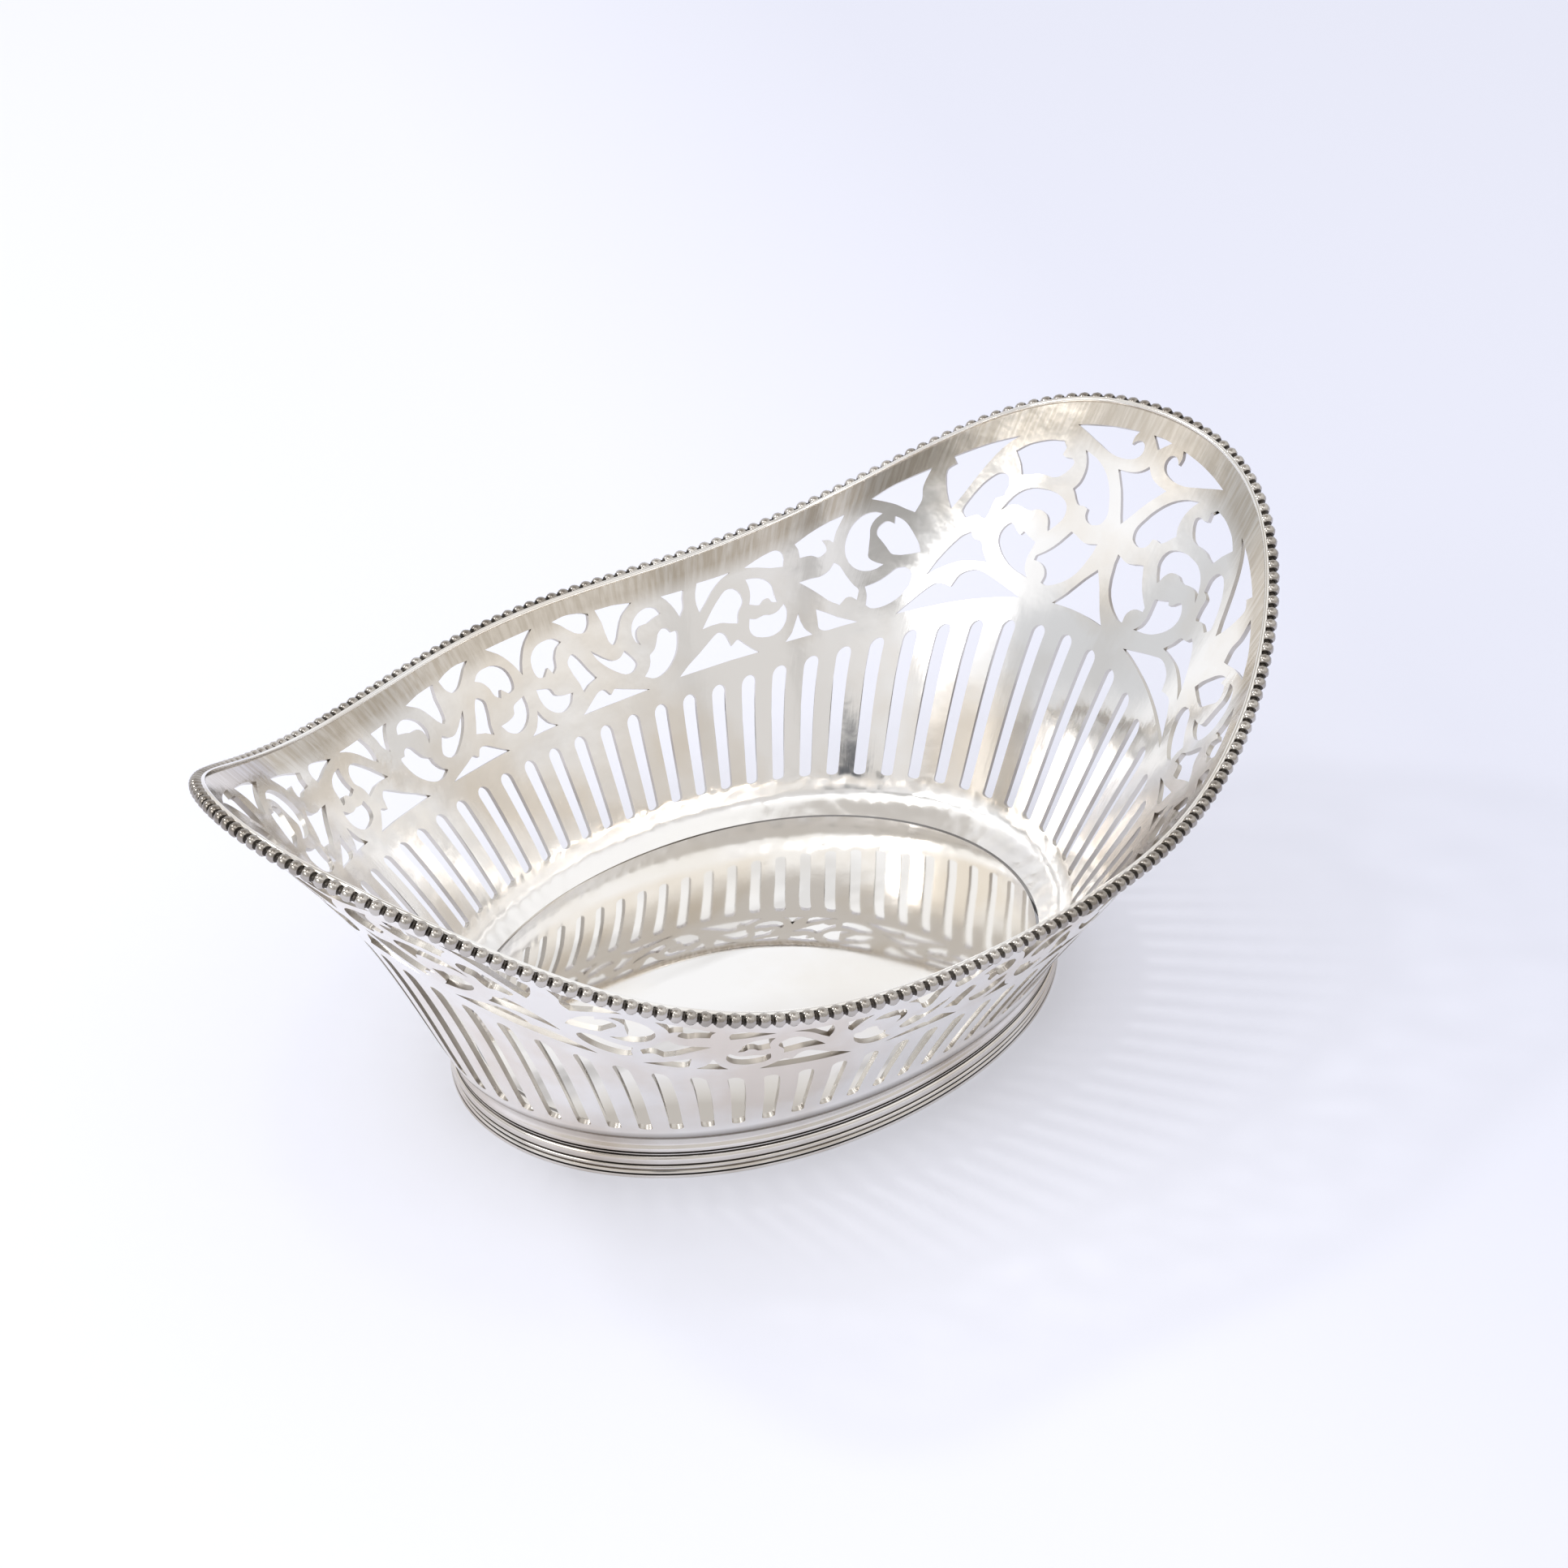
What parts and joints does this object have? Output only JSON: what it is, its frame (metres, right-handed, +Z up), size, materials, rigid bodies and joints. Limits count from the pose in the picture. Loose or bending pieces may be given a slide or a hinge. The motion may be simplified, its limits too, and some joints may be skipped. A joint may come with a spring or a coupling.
{
  "type": "bonbon basket",
  "caption": "Oval boat-shaped silver bonbon basket with slotted and scroll-pierced walls, a beaded rim and a low moulded foot.",
  "frame": {"origin": "on the table under the middle of the foot", "axes": "+Z up, +X along the basket's length towards one raised end"},
  "size_m": [0.1628, 0.1074, 0.0615],
  "materials": {
    "bowl_wall": "polished silver, pierced",
    "floor_plate": "mirror-polished silver",
    "foot_band": "polished silver",
    "foot_wire": "polished silver",
    "rim_inner_wire": "bright silver wire",
    "rim_bead_wire": "polished silver, beaded"
  },
  "bodies": {
    "root": {"bowl_wall": "bowl_wall", "floor_plate": "floor_plate", "foot_band": "foot_band", "foot_wire": "foot_wire", "rim_inner_wire": "rim_inner_wire", "rim_bead_wire": "rim_bead_wire"}
  },
  "joints": []
}
